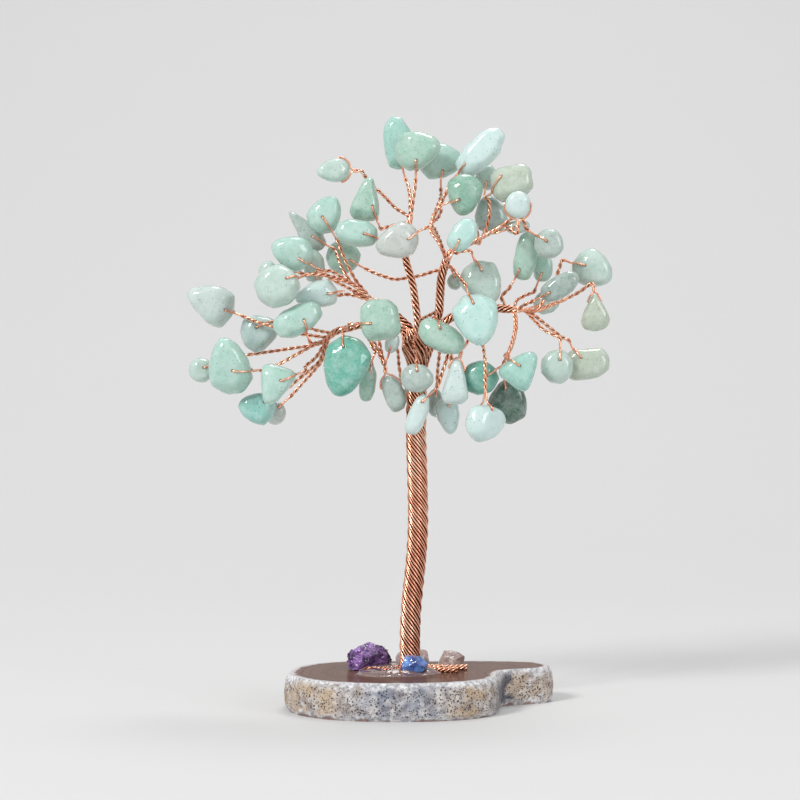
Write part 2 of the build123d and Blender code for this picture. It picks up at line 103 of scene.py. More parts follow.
# Trunk, branches and roots
bundle_ridges = 22
trunk_wires = 17
trunk_lay = 18.5 * mm
trunk_radius = 2.25 * mm
trunk_core_radius = 1.9 * mm
trunk_core_sides = 24
trunk_core_steps_short = 4
trunk_lobes = 6.0
trunk_lobe_depth = 0.12 * mm
trunk_unevenness = 0.16 * mm
head_slack = 0.5
trunk_step = 0.45 * mm
head_bulge = ((0, 1.0, 1.0), (0.22, 1.22, 1.06), (0.45, 1.6, 1.18), (0.65, 1.42, 1.12),
              (0.82, 1.0, 0.95), (1.0, 0.6, 0.6))
head_rise = 2.2 * mm
head_lean = (-1.6 * mm, 0, 0)
root_run = (3, 9)
free_share = 0.5
branch_step = 0.35 * mm
branch_bundles = {
    "branch_left": (5, 0.7 * mm), "branch_upper_left": (5, 0.7 * mm), "branch_top": (5, 0.7 * mm),
    "branch_upper_right": (6, 0.85 * mm), "branch_right": (6, 0.85 * mm),
}
branch_lay = 8 * mm
branch_tip = 0.5
branch_inset = (0.35, 0.35, 0)
branch_sink = 1.0 * mm
branch_core_slack = 0.45 * mm
branch_core_sides = 12
bundle_unevenness = 0.1 * mm
bundle_side = (0.3, 0.9, 0.2)
tip_run = 3.2 * mm

# Seeds of the wires' unevenness
trunk_seed = 3.0
branch_seed = 10.0
limb_seed = 20.0
root_seed = 30.0

# Number of wires, lay radius, lay length and size at the tip
limb_bundle = (4, 0.33 * mm, 5.0 * mm, 0.75)
root_bundle = (4, 0.46 * mm, 5.0 * mm, 1.2)

# Slab
slab_spokes = 480
slab_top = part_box("agate_slab")[1][2]
slab_levels = 24
slab_rings = 26
ring_crowding = 1.3
rim_blend = (-2, -1, 0, 1, 2)
rim_sharpness = math.radians(50)
rind_roughness = 0.55 * mm
rind_grain = 1.7 * mm
rind_fractal = (0.7, 2.1, 4)
rind_lump = 7 * mm
rind_shares = (0.25, 0.6, 0.7)

# Rough stones
break_depths = (0.72, 0.93)
break_lowest = -0.3
break_fill = 0.99
break_passes = 2
break_grain = 1.1 * mm
break_fractal = (0.9, 2.2, 3)
break_sharpness = math.radians(38)

# Glue
glue_spread = 1.8
glue_wander = 1.2
glue_lift = 0.35 * mm
glue_dip = 0.7 * mm
glue_voxel = 0.22 * mm
glue_passes = 8
glue_clearance = 0.4 * mm
glue_wave = 6 * mm
glue_ripple = 3.6 * mm


def linear(colour):
    """A display colour, 0 to 1, as the linear values that a shader takes."""
    return [((part + 0.055) / 1.055) ** 2.4 if part > 0.04045 else part / 12.92 for part in colour]


class Solid:
    """One solid of a CAD node: its points, its triangles and which points an edge joins."""

    def __init__(self, points, triangles):
        used = sorted({corner for triangle in triangles for corner in triangle})
        place = {old: new for new, old in enumerate(used)}
        self.points = points[used]
        self.triangles = [[place[corner] for corner in triangle] for triangle in triangles]
        self.beside = [set() for _ in used]
        for a, b, c in self.triangles:
            self.beside[a] |= {b, c}
            self.beside[b] |= {a, c}
            self.beside[c] |= {a, b}

    def flats(self):
        """Sets of points that share one flat face."""
        corners = self.points[np.array(self.triangles)]
        normals = np.cross(corners[:, 1] - corners[:, 0], corners[:, 2] - corners[:, 0])
        normals /= np.linalg.norm(normals, axis=1)[:, None] + 1e-30
        by_edge = {}
        for number, (a, b, c) in enumerate(self.triangles):
            for edge in ((a, b), (b, c), (c, a)):
                by_edge.setdefault(tuple(sorted(edge)), []).append(number)
        group = list(range(len(self.triangles)))

        def root(number):
            """The triangle that stands for a triangle's flat face."""
            while group[number] != number:
                number = group[number]
            return number

        for pair in by_edge.values():
            if len(pair) == 2 and normals[pair[0]].dot(normals[pair[1]]) > flat_cosine:
                group[root(pair[0])] = root(pair[1])
        flats = {}
        for number, triangle in enumerate(self.triangles):
            flats.setdefault(root(number), set()).update(triangle)
        return list(flats.values())

    def levels(self, cap):
        """Rings of points of a bar, from its end cap on, and the points that are left."""
        rings = [set(cap)]
        seen = set(cap)
        while True:
            following = set().union(*(self.beside[corner] for corner in rings[-1])) - seen
            if len(following) != len(cap):
                break
            rings.append(following)
            seen |= following
        return rings, set(range(len(self.points))) - seen

    def long_axis(self):
        """Line along a bar that is cut at both ends."""
        middle = self.points.mean(axis=0)
        way = np.linalg.svd(self.points - middle)[2][0]
        reach = (self.points - middle).dot(way)
        return np.array([middle + way * place for place in (reach.min(), 0, reach.max())])

    def bar_line(self, sides):
        """Centres of a bar's rings, from its clean end to its other end."""
        best, left = [], set()
        for flat in self.flats():
            if len(flat) != sides:
                continue
            rings, rest = self.levels(flat)
            if len(rings) * sides > sum(len(ring) for ring in best) and len(rings) > 1:
                best = rings
                left = rest
        if not best:
            return self.long_axis()
        line = [self.points[sorted(ring)].mean(axis=0) for ring in best]
        if left:
            line.append(self.points[sorted(left)].mean(axis=0))
        return np.array(line)


def solids_of(name):
    """The solids of a CAD node, in its own order."""
    mesh = nodes[name].data
    points = np.empty(len(mesh.vertices) * 3)
    mesh.vertices.foreach_get("co", points)
    points = points.reshape(-1, 3)
    merged = {}
    index = []
    for point in np.round(points / merge_step).astype(int):
        index.append(merged.setdefault(tuple(point), len(merged)))
    kept = np.zeros((len(merged), 3))
    kept[index] = points
    mesh.calc_loop_triangles()
    triangles = [[index[corner] for corner in face.vertices] for face in mesh.loop_triangles]
    triangles = [triangle for triangle in triangles if len(set(triangle)) == 3]
    solids = []
    listed = []
    unmatched = set()
    for a, b, c in triangles:
        listed.append([a, b, c])
        for start, end in ((a, b), (b, c), (c, a)):
            if (end, start) in unmatched:
                unmatched.remove((end, start))
            else:
                unmatched.add((start, end))
        if not unmatched:
            solids.append(Solid(kept, listed))
            listed = []
    return solids


def unit(vector):
    """A vector's direction."""
    return vector / np.linalg.norm(vector)


def even_points(points, step):
    """Points about one step apart along a line of straight runs."""
    run = run_along(points)
    count = max(2, round(run[-1] / step) + 1)
    places = np.linspace(0, run[-1], count)
    return np.column_stack([np.interp(places, run, points[:, axis]) for axis in range(3)])


def rounded(points, cut, step):
    """A line of straight runs with its bends rounded, as points one step apart."""
    steps = np.linalg.norm(np.diff(points, axis=0), axis=1)
    points = points[np.concatenate([[True], steps > least_run])]
    line = [points[0]]
    for before, corner, after in zip(points, points[1:], points[2:]):
        back, ahead = before - corner, after - corner
        start = corner + unit(back) * min(cut, bend_share * np.linalg.norm(back))
        end = corner + unit(ahead) * min(cut, bend_share * np.linalg.norm(ahead))
        for share in np.linspace(0, 1, bend_points):
            rest = 1 - share
            line.append(start * rest ** 2 + 2 * corner * share * rest + end * share ** 2)
    line.append(points[-1])
    return even_points(np.array(line), step)


def run_along(line):
    """The length of a line up to each of its points."""
    return np.concatenate([[0], np.cumsum(np.linalg.norm(np.diff(line, axis=0), axis=1))])


def outward(line, middle):
    """A line that starts at its end farther from a point."""
    near, far = (np.linalg.norm(end - middle) for end in (line[-1], line[0]))
    return line if far > near else line[::-1]


def lay_frames(line, side):
    """Two directions square to a line at each point, carried along it from the first."""
    ways = np.gradient(line, axis=0)
    sides = []
    overs = []
    for way in ways:
        way = unit(way)
        side = unit(side - way * side.dot(way))
        sides.append(side)
        overs.append(np.cross(way, side))
    return np.array(sides), np.array(overs)


def upward(line):
    """A line that starts at its lower end."""
    return line if line[-1][2] > line[0][2] else line[::-1]


trunk_line = upward(solids_of("trunk_bundle")[0].bar_line(bundle_ridges))
head_line = upward(solids_of("trunk_fork")[0].bar_line(bundle_ridges))
crown = trunk_line[-1]


def shaft_line(name, sides, bases):
    """Line of a branch or limb, from its tip to the end that is nearest to a base."""
    line = solids_of(name)[0].bar_line(sides)
    gaps = [np.linalg.norm(bases - end, axis=1).min() for end in (line[0], line[-1])]
    return line if gaps[1] < gaps[0] else line[::-1]


shafts = {name: shaft_line(name, branch_bar_sides, crown[None])
          for name in nodes if name.startswith("branch_")}
branch_points = np.vstack([even_points(line, wire_step) for line in shafts.values()])
for name in nodes:
    if name.startswith("limb_"):
        shafts[name] = shaft_line(name, twig_bar_sides, branch_points)


def rooted(line, own=""):
    """A line cut where its later part comes nearest to a branch or limb, which it then follows."""
    fine = even_points(line, wire_step)
    best = None
    for name, shaft in shafts.items():
        if name == own:
            continue
        path = even_points(shaft, wire_step)
        gaps = np.linalg.norm(fine[:, None] - path[None], axis=2)
        gaps[:round(free_share * len(fine))] = np.inf
        spot, near = np.unravel_index(gaps.argmin(), gaps.shape)
        if best is None or gaps[spot, near] < best[0]:
            best = (gaps[spot, near], spot, path, near)
    _, spot, path, near = best
    kept = line[run_along(line) < (spot - 1) * run_along(fine)[1]]
    followed = [path[min(near + ahead, len(path) - 1)] for ahead in root_run]
    return np.vstack([kept if len(kept) else line[:1], fine[spot], *followed])


def mesh_from(name, points, faces=(), edges=()):
    """A mesh of plain points, faces and edges."""
    mesh = bpy.data.meshes.new(name)
    mesh.from_pydata([tuple(point) for point in points], edges, faces)
    mesh.update()
    return mesh


def placed(name, data):
    """An object in the scene for a mesh, a lamp or a camera."""
    made = bpy.data.objects.new(name, data)
    bpy.context.collection.objects.link(made)
    return made


def piece(name, mesh, replaced, materials=(), body="tree"):
    """A finished piece: its object, the body it rides on and the CAD nodes it stands for."""
    made = placed(name, mesh)
    for material in materials:
        mesh.materials.append(material)
    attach(made, body)
    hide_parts(*replaced)


def marked(mesh, label, kind, values):
    """Gives each point of a mesh a value under a name."""
    key = {"FLOAT": "value", "FLOAT_VECTOR": "vector", "FLOAT_COLOR": "color"}[kind]
    mesh.attributes.new(label, kind, "POINT").data.foreach_set(key, np.ravel(values))


def evaluated(name, mesh, prepare):
    """The mesh that modifiers make of a mesh, in place of that mesh."""
    holder = placed(name, mesh)
    prepare(holder)
    graph = bpy.context.evaluated_depsgraph_get()
    made = bpy.data.meshes.new_from_object(holder.evaluated_get(graph))
    bpy.data.objects.remove(holder)
    bpy.data.meshes.remove(mesh)
    made.name = name
    return made


def joined(name, meshes):
    """One mesh of several, with their attributes and materials."""
    holders = [placed(name, mesh) for mesh in meshes]
    with bpy.context.temp_override(active_object=holders[0], selected_editable_objects=holders):
        bpy.ops.object.join()
    made = holders[0].data
    bpy.data.objects.remove(holders[0])
    made.name = name
    return made


def path_mesh(name, rows):
    """Edges along lines. A row holds a line and, for laid wires, its sides, overs and runs."""
    edges = []
    start = 0
    for row in rows:
        edges += [(start + number, start + number + 1) for number in range(len(row[0]) - 1)]
        start += len(row[0])
    points, *columns = [np.concatenate(column) for column in zip(*rows)]
    mesh = mesh_from(name, points, edges=edges)
    kinds = (("side", "FLOAT_VECTOR"), ("over", "FLOAT_VECTOR"), ("run", "FLOAT"))
    for (label, kind), values in zip(kinds, columns):
        marked(mesh, label, kind, values)
    return mesh


class Wiring:
    """Short ways to add nodes to a node tree and to link them."""

    def __init__(self, tree):
        self.tree = tree

    def put(self, value, socket):
        """Links another socket to a socket, or gives it a plain value."""
        if isinstance(value, bpy.types.NodeSocket):
            self.tree.links.new(value, socket)
        elif value is not None:
            socket.default_value = value

    def add(self, kind, *values, **named):
        """A new node. A name with a capital is an input, one without is a setting."""
        node = self.tree.nodes.new(kind)
        for name, value in named.items():
            if name[0].islower():
                setattr(node, name, value)
        for name, value in named.items():
            if name[0].isupper():
                self.put(value, node.inputs[name.replace("_", " ")])
        for value, socket in zip(values, node.inputs):
            self.put(value, socket)
        return node

    def math(self, operation, *values):
        """The result of a sum on numbers."""
        return self.add("ShaderNodeMath", *values, operation=operation).outputs[0]

    def times(self, first, second):
        """The product of two numbers."""
        return self.math("MULTIPLY", first, second)

    def vector(self, operation, *values, **named):
        """A node that works on vectors."""
        return self.add("ShaderNodeVectorMath", *values, operation=operation, **named)


class Tree(Wiring):
    """A node group with named inputs and one output."""

    def __init__(self, name, kind, output, inputs):
        super().__init__(bpy.data.node_groups.new(name, kind))
        sockets = self.tree.interface
        for label, value in inputs.items():
            socket = value if isinstance(value, str) else type(value).__name__.title()
            made = sockets.new_socket(label, in_out="INPUT", socket_type="NodeSocket" + socket)
            if socket != value:
                made.default_value = value
        sockets.new_socket(output[0], in_out="OUTPUT", socket_type="NodeSocket" + output[1])
        self.source = self.tree.nodes.new("NodeGroupInput")

    def given(self, label):
        """An input of the group, to use inside it."""
        return self.source.outputs[label]

    def field(self, label, kind):
        """A value that each point keeps under a name."""
        node = self.add("GeometryNodeInputNamedAttribute", data_type=kind, Name=label)
        return node.outputs["Attribute"]

    def stored(self, geometry, name, kind, value):
        """Keeps a value at each point under a name."""
        return self.add("GeometryNodeStoreNamedAttribute", geometry, None, name, value,
                        data_type=kind, domain="POINT").outputs[0]

    def finish(self, socket):
        """Puts a socket out of the group, which is then done."""
        self.put(socket, self.tree.nodes.new("NodeGroupOutput").inputs[0])
        return self.tree


def grooved(tree, skin):
    """Marks how deep each point lies between the wires, 0 on their crests and 1 in the grooves, as
    the mask of the painted shade in the grooves.
    """
    spot = tree.add("GeometryNodeInputPosition").outputs[0]
    axis_spot = tree.field("axis_spot", "FLOAT_VECTOR")
    away = tree.vector("DISTANCE", spot, axis_spot).outputs["Value"]
    beyond = tree.math("SUBTRACT", away, tree.field("reach", "FLOAT"))
    share = tree.math("DIVIDE", beyond, tree.given("Wire Diameter"))
    depth = tree.add("ShaderNodeMapRange", share, tree.given("Groove Low"),
                     tree.given("Groove High"), 1.0, 0.0).outputs[0]
    return tree.stored(skin, "painted_shade", "FLOAT", depth)


def wire_surface(tree, curve, marks=None):
    """Ends a tree in a round wire along a curve, in its finish."""
    radius = tree.times(tree.given("Wire Diameter"), 0.5)
    section = tree.add("GeometryNodeCurvePrimitiveCircle", Resolution=tree.given("Sides"),
                       Radius=radius).outputs["Curve"]
    skin = tree.add("GeometryNodeCurveToMesh", curve, section, Fill_Caps=True).outputs["Mesh"]
    if marks:
        skin = marks(tree, skin)
    smooth = tree.add("GeometryNodeSetShadeSmooth", skin)
    real = tree.add("GeometryNodeRealizeInstances", smooth.outputs[0])
    coated = tree.add("GeometryNodeSetMaterial", real.outputs[0], Material=tree.given("Finish"))
    return tree.finish(coated.outputs[0])


def laid_wires_tree():
    """Wires laid round a line: each winds about it once in a lay."""
    # Groove Low and Groove High set where the painted shade in the grooves is full and where it is
    # gone.
    tree = Tree("laid_wires", "GeometryNodeTree", ("Geometry", "Geometry"), {
        "Geometry": "Geometry", "Wires": 2, "Lay Radius": 0.001, "Lay Length": 0.003,
        "Wire Diameter": 0.0004, "Lobes": 5.0, "Lobe Depth": 0.0, "Unevenness": 0.0, "Seed": 1.0,
        "Sides": 7, "Groove Low": 0.0, "Groove High": 0.3, "Finish": "Material"})
    line = tree.add("GeometryNodeMeshToCurve", tree.given("Geometry"))
    copies = tree.add("GeometryNodeDuplicateElements", line.outputs[0], domain="SPLINE",
                      Amount=tree.given("Wires"))
    number = copies.outputs["Duplicate Index"]
    share = tree.math("DIVIDE", number, tree.given("Wires"))
    turned = tree.math("DIVIDE", tree.field("run", "FLOAT"), tree.given("Lay Length"))
    angle = tree.times(tree.math("ADD", share, turned), full_turn)
    lobe_angle = tree.times(tree.times(share, tree.given("Lobes")), full_turn)
    lobe = tree.times(tree.math("COSINE", lobe_angle), tree.given("Lobe Depth"))
    mottle = tree.add("ShaderNodeTexNoise", noise_dimensions="4D", Scale=180.0,
                      W=tree.math("ADD", tree.given("Seed"), number))
    uneven = tree.times(tree.math("SUBTRACT", mottle.outputs[0], 0.5), tree.given("Unevenness"))
    radius = tree.math("ADD", tree.math("ADD", tree.given("Lay Radius"), lobe), uneven)
    ways = [tree.vector("SCALE", tree.field(label, "FLOAT_VECTOR"),
                        Scale=tree.math(wave, angle)).outputs[0]
            for label, wave in (("side", "COSINE"), ("over", "SINE"))]
    offset = tree.vector("SCALE", tree.vector("ADD", *ways).outputs[0], Scale=radius).outputs[0]
    spot = tree.add("GeometryNodeInputPosition").outputs[0]
    kept = tree.stored(copies.outputs["Geometry"], "axis_spot", "FLOAT_VECTOR", spot)
    reach = tree.vector("LENGTH", offset).outputs["Value"]
    moved = tree.add("GeometryNodeSetPosition", tree.stored(kept, "reach", "FLOAT", reach),
                     Offset=offset)
    return wire_surface(tree, moved.outputs[0], grooved)


def single_wire_tree():
    """One round wire along each line."""
    tree = Tree("single_wire", "GeometryNodeTree", ("Geometry", "Geometry"), {
        "Geometry": "Geometry", "Wire Diameter": 0.0004, "Sides": 7, "Finish": "Material"})
    line = tree.add("GeometryNodeMeshToCurve", tree.given("Geometry"))
    return wire_surface(tree, line.outputs[0])


def grown(name, rows, tree, **changed):
    """The mesh that a Geometry Nodes tree grows along lines."""
    values = {"wire_diameter": wire_diameter, "sides": wire_sides, "finish": copper, **changed}

    def prepare(holder):
        modifier = holder.modifiers.new("grow", "NODES")
        modifier.node_group = tree
        for item in tree.interface.items_tree:
            key = item.name.lower().replace(" ", "_")
            if item.in_out == "INPUT" and key in values:
                modifier[item.identifier] = values[key]
    return evaluated(name, path_mesh(name, rows), prepare)


# Shared pattern groups
def cloud_group():
    """Cloudy mask with a soft edge."""
    tree = Tree("stone_cloud", "ShaderNodeTree", ("Mask", "Float"),
                {"Vector": "Vector", "Scale": 200.0, "Low": 0.4, "High": 0.65})
    texture = tree.add("ShaderNodeTexNoise", Vector=tree.given("Vector"),
                       Scale=tree.given("Scale"), Detail=4.0, Roughness=0.6)
    mask = tree.add("ShaderNodeMapRange", texture.outputs[0], tree.given("Low"),
                    tree.given("High"), interpolation_type="SMOOTHSTEP")
    return tree.finish(mask.outputs[0])


def speck_group():
    """Mask of small scattered grains."""
    tree = Tree("mineral_specks", "ShaderNodeTree", ("Mask", "Float"),
                {"Vector": "Vector", "Scale": 900.0, "Size": 0.2, "Spread": 0.5})
    place, scale = tree.given("Vector"), tree.given("Scale")
    cells = tree.add("ShaderNodeTexVoronoi", Vector=place, Scale=scale)
    grain = tree.math("LESS_THAN", cells.outputs["Distance"], tree.given("Size"))
    patches = tree.add("ShaderNodeTexNoise", Vector=place, Scale=tree.times(scale, 0.35))
    chosen = tree.math("GREATER_THAN", patches.outputs[0], tree.given("Spread"))
    return tree.finish(tree.times(grain, chosen))


class Finish(Wiring):
    """A material with one Principled shader, and short ways to add to it."""

    def __init__(self, name, **values):
        self.material = bpy.data.materials.new(name)
        self.material.use_nodes = True
        super().__init__(self.material.node_tree)
        self.shader = self.tree.nodes["Principled BSDF"]
        for label, value in values.items():
            self.shader.inputs[label.replace("_", " ")].default_value = value
        self.place = self.add("ShaderNodeTexCoord").outputs["Object"]

    def group(self, tree, **values):
        """A shared pattern with this material's own values."""
        return self.add("ShaderNodeGroup", node_tree=tree, Vector=self.place, **values).outputs[0]

    def attribute(self, name, output="Fac"):
        """A value that the piece keeps at its points."""
        return self.add("ShaderNodeAttribute", attribute_name=name).outputs[output]

    def noise(self, scale, detail=3.0):
        """Noise over the piece, about 0.3 to 0.7."""
        return self.add("ShaderNodeTexNoise", Vector=self.place, Scale=scale,
                        Detail=detail).outputs[0]

    def mix(self, share, first, second, blend="MIX"):
        """A mix of two colours, as sockets or as display colours."""
        node = self.add("ShaderNodeMix", share, data_type="RGBA", blend_type=blend)
        for value, socket in ((first, node.inputs[6]), (second, node.inputs[7])):
            self.put((*linear(value), 1) if isinstance(value, tuple) else value, socket)
        return node.outputs[2]

    def ranged(self, value, low, high, new_low, new_high):
        """A value moved from one range to another and kept inside it."""
        return self.add("ShaderNodeMapRange", value, low, high, new_low, new_high).outputs[0]

    def stops(self, value, stops):
        """Colours that blend from stop to stop of a value."""
        node = self.add("ShaderNodeValToRGB", value)
        elements = node.color_ramp.elements
        while len(elements) < len(stops):
            elements.new(0.5)
        for element, (position, colour) in zip(elements, stops):
            element.position = position
            element.color = (*colour, 1)
        return node.outputs[0]

    def ramp(self, value, stops):
        """Display colours at positions of a value."""
        return self.stops(value, [(position, linear(colour)) for position, colour in stops])

    def mask(self, value, stops):
        """Strengths at positions of a value."""
        return self.stops(value, [(position, [strength] * 3) for position, strength in stops])

    def colour(self, socket):
        self.put(socket, self.shader.inputs["Base Color"])

    def roughness(self, socket):
        self.put(socket, self.shader.inputs["Roughness"])

    def bump(self, height, strength, distance):
        """Small relief in the surface's light."""
        node = self.add("ShaderNodeBump", Strength=strength, Distance=distance, Height=height)
        self.put(node.outputs[0], self.shader.inputs["Normal"])


cloud = cloud_group()
specks = speck_group()


def tumbled_stone():
    """Glossy, cloudy green stone in the chip's own tint."""
    finish = Finish("tumbled_green_stone", IOR=1.54, Subsurface_Weight=0.4,
                    Subsurface_Scale=1.6 * mm, Subsurface_Radius=(0.85, 1.0, 0.95),
                    Transmission_Weight=0.15, Coat_Weight=0.5, Coat_Roughness=0.03)
    tint = finish.attribute("tint", "Color")
    milk = finish.group(cloud, Scale=420.0, Low=0.36, High=0.7)
    pale = finish.mix(milk, tint, finish.mix(0.3, tint, (0.90, 0.94, 0.93)))
    depth = finish.group(cloud, Scale=700.0, Low=0.42, High=0.75)
    body = finish.mix(finish.times(depth, 0.36), pale, tint, "MULTIPLY")
    sugar = finish.ranged(finish.noise(1900.0, 2.0), 0.35, 0.65, 0, 0.24)
    body = finish.mix(sugar, body, finish.mix(0.55, tint, (0.93, 0.96, 0.95)))
    grains = finish.group(specks, Scale=1300.0, Size=0.24, Spread=0.56)
    finish.colour(finish.mix(finish.times(grains, 0.4), body, (0.36, 0.42, 0.38)))
    finish.roughness(finish.ranged(milk, 0, 1, 0.08, 0.2))
    finish.bump(finish.noise(600.0), 0.2, 0.12 * mm)
    return finish.material


def bright_copper():
    """Bright copper with painted shade that darkens it in the grooves between laid wires."""
    finish = Finish("bright_copper_wire", Metallic=1.0)
    bright = finish.ramp(finish.noise(260.0), ((0.3, (0.88, 0.59, 0.48)),
                                               (0.5, (0.96, 0.71, 0.59)),
                                               (0.7, (1.0, 0.82, 0.72))))
    # Painted shade: the copper darkens to brown in the grooves between the wires.
    painted_shade = finish.times(finish.attribute("painted_shade"), 0.9)
    finish.colour(finish.mix(painted_shade, bright, (0.40, 0.16, 0.09)))
    finish.roughness(finish.ranged(finish.noise(900.0), 0.3, 0.7, 0.18, 0.32))
    finish.bump(finish.noise(3000.0), 0.08, 0.02 * mm)
    return finish.material


def shaded_copper():
    """Copper darkened as painted shade, for the core seen down between the outer wires."""
    finish = Finish("shaded_copper_wire", Metallic=1.0, Roughness=0.4)
    finish.colour(finish.ramp(finish.noise(700.0), ((0.3, (0.26, 0.11, 0.07)),
                                                    (0.7, (0.42, 0.19, 0.12)))))
    return finish.material


aventurine = tumbled_stone()
copper = bright_copper()
# Copper for the cores, darkened as painted shade.
painted_shade_copper = shaded_copper()
laid_wires = laid_wires_tree()
single_wire = single_wire_tree()

# Tints of the chips, in display colours, and the tint of each chip in its spray
tints = {
    "mint": (0.70, 0.85, 0.80), "pale": (0.76, 0.85, 0.81), "aqua": (0.69, 0.79, 0.77),
    "white": (0.84, 0.91, 0.90), "green": (0.66, 0.81, 0.74), "grey": (0.70, 0.77, 0.74),
    "teal": (0.38, 0.72, 0.64), "deep": (0.08, 0.35, 0.25), "blush": (0.80, 0.82, 0.80),
    "cyan": (0.76, 0.91, 0.88), "olive": (0.75, 0.80, 0.73), "straw": (0.76, 0.80, 0.73),
    "moss": (0.54, 0.73, 0.64), "sea": (0.64, 0.84, 0.79), "bright": (0.83, 0.92, 0.91),
    "frost": (0.80, 0.86, 0.84), "lagoon": (0.57, 0.81, 0.77), "slate": (0.61, 0.69, 0.66),
}
spray_tints = {
    "left_low": "frost aqua mint pale mint lagoon blush mint",
    "left_up": "mint grey mint pale pale pale bright",
    "middle_left": "green mint green blush",
    "middle": "green white teal green grey grey",
    "top": "sea green mint bright moss",
    "upper_right": "cyan pale olive aqua pale grey",
    "middle_right": "green cyan pale pale",
    "right": "green mint slate pale pale pale olive",
    "right_low": "teal deep sea",
    # The low spray's middle chip takes the bright tint, lighter than its own colour, as painted
    # light against the shade it sits in.
    "low": "white bright aqua",
}
swinging_tints = {
    "swinging_chip_top_left": "pale", "swinging_chip_middle": "grey",
    "swinging_chip_upper_right": "white", "swinging_chip_low_middle": "white",
    "swinging_chip_low_right": "bright", "swinging_chip_far_right": "straw",
}


def slender(solid):
    """Whether a solid is much longer than wide."""
    centred = solid.points - solid.points.mean(axis=0)
    spans = np.ptp(centred @ np.linalg.svd(centred)[2].T, axis=0)
    return spans[1] < slender_share * spans[0]


def from_shell(name, shell):
    """The mesh of a shell that is done."""
    mesh = bpy.data.meshes.new(name)
    shell.to_mesh(mesh)
    shell.free()
    return mesh


def worn_round(name, mesh, voxel, passes):
    """A mesh remade in even faces and worn round."""
    def prepare(holder):
        fine = holder.modifiers.new("fine", "REMESH")
        fine.mode = "VOXEL"
        fine.voxel_size = voxel
        worn = holder.modifiers.new("worn", "SMOOTH")
        worn.factor = wear
        worn.iterations = passes
    return evaluated(name, mesh, prepare)


def smooth_pebble(name, solid, voxel, passes):
    """A solid's hull worn round, as by tumbling."""
    shell = bmesh.new()
    for point in solid.points:
        shell.verts.new(tuple(point))
    bmesh.ops.convex_hull(shell, input=shell.verts)
    return worn_round(name, from_shell(name, shell), voxel, passes)


def filled_out(mesh, solid, share=1.0):
    """Scales a worn mesh back to a share of its solid's extents."""
    low, high = solid.points.min(axis=0), solid.points.max(axis=0)
    points = np.array([vertex.co for vertex in mesh.vertices])
    now_low, now_high = points.min(axis=0), points.max(axis=0)
    scale = share * (high - low) / (now_high - now_low)
    points = (points - (now_low + now_high) / 2) * scale + (low + high) / 2
    mesh.vertices.foreach_set("co", points.ravel())
    mesh.update()


def dimpled(mesh, seed):
    """Presses shallow hollows into a mesh, inwards only."""
    shift = seed * Vector(dimple_shift)
    for vertex in mesh.vertices:
        wave = noise.noise(vertex.co / dimple_scale + shift)
        vertex.co -= vertex.normal * dimple_depth * max(0, wave + dimple_share)
    mesh.update()


def bored(name, mesh, start, end):
    """The pebble with a bore from start to end."""
    way = Vector(end - start)
    turn = Vector((0, 0, 1)).rotation_difference(way).to_matrix().to_4x4()
    drill = bmesh.new()
    bmesh.ops.create_cone(drill, cap_ends=True, segments=bore_sides, radius1=bore_diameter / 2,
                          radius2=bore_diameter / 2, depth=way.length,
                          matrix=Matrix.Translation(Vector((start + end) / 2)) @ turn)
    cutter = placed(name + "_drill", from_shell(name + "_drill", drill))

    def prepare(holder):
        cut = holder.modifiers.new("bore", "BOOLEAN")
        cut.operation = "DIFFERENCE"
        cut.solver = "EXACT"
        cut.object = cutter
    made = evaluated(name, mesh, prepare)
    cutter_mesh = cutter.data
    bpy.data.objects.remove(cutter)
    bpy.data.meshes.remove(cutter_mesh)
    return made


def tinted(mesh, tint):
    """Gives a mesh its tint and smooth shading."""
    marked(mesh, "tint", "FLOAT_COLOR", np.tile((*linear(tints[tint]), 1), len(mesh.vertices)))
    mesh.shade_smooth()


def bore_ends(loop_line, solid):
    """The two ends of the run of a wire loop that goes through a chip."""
    middle = solid.points.mean(axis=0)
    best = None
    for start, end in zip(loop_line, loop_line[1:]):
        share = np.clip((middle - start).dot(end - start) / (end - start).dot(end - start), 0, 1)
        if not bore_share[0] < share < bore_share[1]:
            continue
        gap = np.linalg.norm(start + (end - start) * share - middle)
        if best is None or gap < best[0]:
            best = (gap, start, end)
    return best[1], best[2]


def in_bore(point, start, end, leeway):
    """Whether a point lies on the line of a bore."""
    way = unit(end - start)
    along = (point - start).dot(way)
    off_axis = np.linalg.norm(point - start - way * along)
    return off_axis < leeway and 0 < along < np.linalg.norm(end - start)


def hugging(line, start, end, skin):
    """A loop's line drawn in to lie on the pebble, apart from its run through the bore."""
    kept = []
    for point in line:
        near, normal, _, gap = skin.find_nearest(Vector(point))
        outside = (Vector(point) - near).dot(normal)
        if outside < 0 and in_bore(point, start, end, hug_leeway):
            kept.append(point)
            continue
        pull = min(1, max(0, (hug_reach - gap) / hug_fade))
        kept.append(np.array(Vector(point) - normal * (outside - loop_rest) * pull))
    return np.array(kept)


def cleared(line, start, end, skin, swing):
    """A loop's line pushed clear of the pebble at each turn about its bore, up to a swing."""
    way = Vector(unit(end - start))
    turns = [Matrix.Rotation(angle, 3, way) for angle in np.linspace(-swing, swing, swing_steps)]
    hub = Vector(start)
    moved = []
    for point in line:
        if in_bore(point, start, end, clear_leeway):
            moved.append(point)
            continue
        spot = Vector(point) - hub
        for turn in turns * clear_rounds:
            turned = turn @ spot + hub
            near, normal, _, gap = skin.find_nearest(turned)
            short = loop_rest - (turned - near).dot(normal)
            if gap < clear_reach and short > 0:
                spot = turn.inverted() @ (turned + normal * short - hub)
        moved.append(np.array(spot + hub))
    return np.array(moved)


def relaxed(line, passes):
    """A line smoothed between its ends."""
    line = line.copy()
    for _ in range(passes):
        line[1:-1] = 0.5 * line[1:-1] + 0.25 * (line[:-2] + line[2:])
    return line


